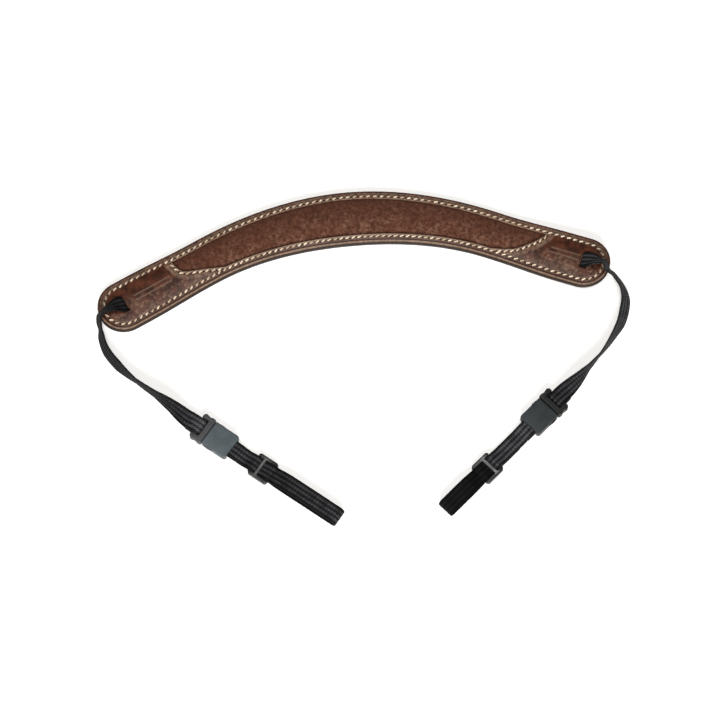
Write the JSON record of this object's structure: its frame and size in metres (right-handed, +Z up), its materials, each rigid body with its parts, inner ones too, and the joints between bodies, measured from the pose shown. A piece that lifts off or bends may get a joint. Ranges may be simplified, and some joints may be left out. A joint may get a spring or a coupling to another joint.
{
  "type": "binocular neck strap",
  "caption": "Padded leather neck strap for binoculars: curved yoke with suede pad and stitched border, narrow webbing, side-release buckles, sliders and lug loops.",
  "frame": {"origin": "Centre of the bounding box in plan, on the surface the strap lies on.", "axes": "X runs along the yoke from the viewer's left end to the right end; Y runs from the lug loops towards the outer edge of the yoke; Z is up, out of the neck side of the pad."},
  "size_m": [0.3542, 0.2345, 0.0213],
  "materials": {
    "back_leather": "smooth, semi-matt",
    "suede": "suede nap, matt",
    "border_leather": "smooth, soft gloss, painted edge, cream stitching",
    "webbing": "tight ribbed weave",
    "plug_plastic": "moulded, satin",
    "socket_plastic": "moulded, satin",
    "slider_plastic": "moulded, satin"
  },
  "bodies": {
    "root": {"yoke_back": "back_leather", "neck_pad": "suede", "border_frame": "border_leather", "yoke_webbing_left": "webbing", "yoke_webbing_right": "webbing", "buckle_plug_left": "plug_plastic", "buckle_plug_right": "plug_plastic", "buckle_socket_left": "socket_plastic", "buckle_socket_right": "socket_plastic", "loop_webbing_left": "webbing", "loop_webbing_right": "webbing", "slider_left": "slider_plastic", "slider_right": "slider_plastic"}
  },
  "joints": []
}
